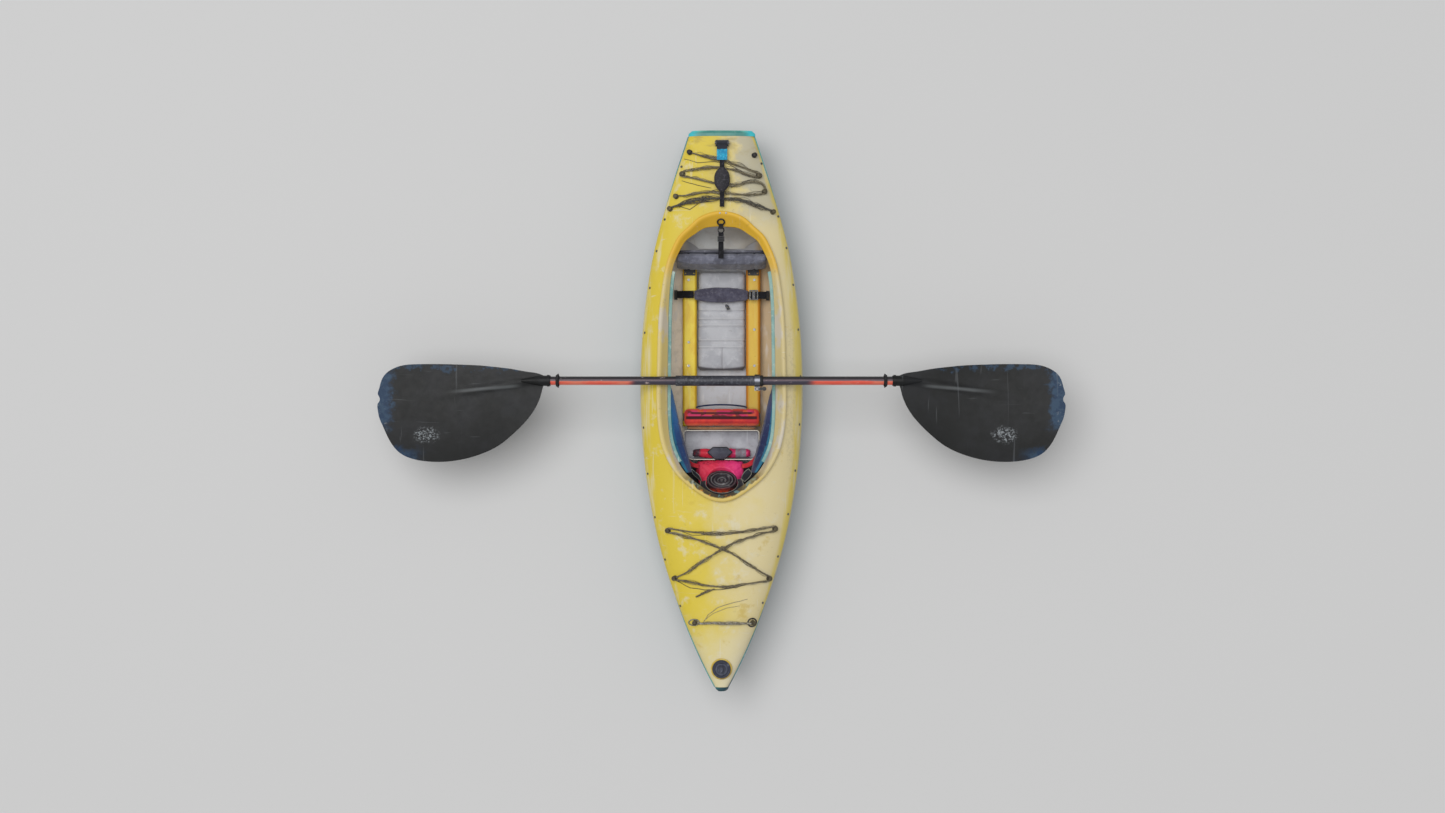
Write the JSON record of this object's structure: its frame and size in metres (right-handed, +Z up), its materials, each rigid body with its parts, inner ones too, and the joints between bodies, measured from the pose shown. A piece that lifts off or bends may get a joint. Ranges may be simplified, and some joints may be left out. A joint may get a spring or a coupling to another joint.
{
  "type": "sit-in kayak with paddle",
  "caption": "Short sit-in kayak with a flat stern, open cockpit, backrest, foot brace, gear tray, flotation bag, deck cords, stern handle and a split two-bladed paddle across it.",
  "frame": {"origin": "on the ground under the middle of the whole object, paddle included", "axes": "+X across the boat along the paddle, +Y towards the stern, +Z up"},
  "size_m": [2.5828, 2.1234, 0.3187],
  "materials": {
    "hull_teal": "roto-moulded satin polyethylene, scuffed",
    "deck_yellow": "roto-moulded satin polyethylene, sun-faded to cream on one side",
    "wear_plastic": "dark wear plastic",
    "trim_teal": "satin extruded trim",
    "liner_grey": "pale moulded liner, dusty",
    "rail_yellow": "moulded rail",
    "steel": "weathered stainless fasteners",
    "chrome": "plated",
    "black_plastic": "moulded nylon hardware",
    "foam": "closed-cell foam",
    "seat_fabric": "pale padded seat cloth",
    "back_fabric": "dark blue-grey woven cloth",
    "webbing_black": "nylon webbing",
    "blue_foam": "blue neoprene-faced foam",
    "red_fabric": "red-orange coated cloth",
    "pink_fabric": "pink-red coated bag cloth",
    "blue_webbing": "cyan webbing",
    "tray_clear": "whitish moulded tub",
    "cord_dark": "braided elastic cord",
    "cord_light": "weathered twisted rope",
    "shaft_red": "lacquered composite shaft, dark above, red below",
    "blade_black": "fibre-filled nylon blade, scuffed",
    "rubber": "soft rubber"
  },
  "bodies": {
    "kayak": {"hull_shell": "hull_teal", "deck_shell": "deck_yellow", "transom_plate": "trim_teal", "bow_cap": "wear_plastic", "keel_strips": "wear_plastic", "seam_flange": "wear_plastic", "cockpit_coaming": "deck_yellow", "side_trims": "trim_teal", "cockpit_liner": "liner_grey", "stern_bulkhead": "liner_grey", "foam_pillars": "foam", "rail_left": "rail_yellow", "rail_right": "rail_yellow", "rail_screws": "steel", "seat_pad": "seat_fabric", "gear_tray": "tray_clear", "thigh_pads": "blue_foam", "hinge_brackets": "steel", "hinge_pins": "steel", "strap_anchor": "steel", "backrest_strap": "webbing_black", "strap_buckle": "black_plastic", "band_anchors": "black_plastic", "float_bag": "pink_fabric", "valve_ring": "red_fabric", "hatch_ring": "black_plastic", "deck_eyes": "black_plastic", "deck_fasteners": "steel", "handle_anchor": "black_plastic", "handle_pin": "steel", "bow_bungee": "cord_dark", "bow_bungee_tail": "cord_dark", "bow_rope": "cord_light", "stern_bungee": "cord_dark", "stern_arc_cord": "cord_dark"},
    "backrest": {"backrest_board": "black_plastic", "backrest_pad": "back_fabric"},
    "lap_strap": {"band_pad": "back_fabric", "band_webbing": "webbing_black", "band_hardware": "black_plastic"},
    "foot_brace": {"footrest_pad": "red_fabric", "footrest_bar": "black_plastic"},
    "stern_handle": {"handle_tab": "blue_webbing", "handle_webbing": "webbing_black", "handle_grip": "back_fabric"},
    "hatch_seal": {"hatch_gasket": "rubber"},
    "hatch_lid": {"hatch_cap": "black_plastic"},
    "bag_valve": {"valve_cap": "rubber"},
    "paddle": {"centre_tube": "black_plastic", "shaft_left": "shaft_red", "tube_sleeve": "black_plastic", "blade_left": "blade_black", "ferrule_clamp": "chrome", "ferrule_bolt": "steel"},
    "feather_bush": {"ferrule_bush": "black_plastic"},
    "paddle_right": {"shaft_right": "shaft_red", "blade_right": "blade_black"},
    "clamp_lever": {"ferrule_lever": "chrome"},
    "drip_left": {"drip_ring_left": "rubber"},
    "drip_right": {"drip_ring_right": "rubber"}
  },
  "joints": [
    {"name": "backrest_recline", "type": "hinge", "parent": "kayak", "child": "backrest", "pos_m": [0, 0.556, 0.084], "axis": [1, 0, 0], "range_deg": [-18, 4]},
    {"name": "lap_strap_lift", "type": "slide", "parent": "kayak", "child": "lap_strap", "axis": [0, 0, 1], "range_m": [0, 0.04]},
    {"name": "foot_brace_slide", "type": "slide", "parent": "kayak", "child": "foot_brace", "axis": [0, 1, 0], "range_m": [0, 0.09]},
    {"name": "stern_handle_lift", "type": "hinge", "parent": "kayak", "child": "stern_handle", "pos_m": [0, 1.012, 0.24562], "axis": [-1, 0, 0], "range_deg": [0, 110]},
    {"name": "hatch_rise", "type": "slide", "parent": "kayak", "child": "hatch_seal", "axis": [0, -0.0908, 0.9959], "range_m": [0, 0.012]},
    {"name": "hatch_turn", "type": "hinge", "parent": "hatch_seal", "child": "hatch_lid", "pos_m": [0, -0.975, 0.25495], "axis": [0, -0.0908, 0.9959], "range_deg": [0, 720]},
    {"name": "bag_valve_turn", "type": "hinge", "parent": "kayak", "child": "bag_valve", "pos_m": [0.001, -0.281, 0.15], "axis": [0, 0.809, 0.5878], "range_deg": [0, 90]},
    {"name": "paddle_lift", "type": "slide", "parent": "kayak", "child": "paddle", "axis": [0, 0, 1], "range_m": [0, 0.3]},
    {"name": "paddle_feather", "type": "hinge", "parent": "paddle", "child": "feather_bush", "pos_m": [0.146, 0.112, 0.29169], "axis": [1, 0, 0], "range_deg": [-60, 60]},
    {"name": "paddle_length", "type": "slide", "parent": "feather_bush", "child": "paddle_right", "axis": [1, 0, 0], "range_m": [0, 0.1]},
    {"name": "clamp_lever_swing", "type": "hinge", "parent": "paddle", "child": "clamp_lever", "pos_m": [0.134, 0.0815, 0.29169], "axis": [0, 0, -1], "range_deg": [0, 100]},
    {"name": "drip_left_slide", "type": "slide", "parent": "paddle", "child": "drip_left", "axis": [1, 0, 0], "range_m": [0, 0.12]},
    {"name": "drip_right_slide", "type": "slide", "parent": "paddle_right", "child": "drip_right", "axis": [-1, 0, 0], "range_m": [0, 0.12]}
  ],
  "couplings": [
    {"joint": "hatch_rise", "follows": "hatch_turn", "m_per_rad": 0.0008754}
  ]
}
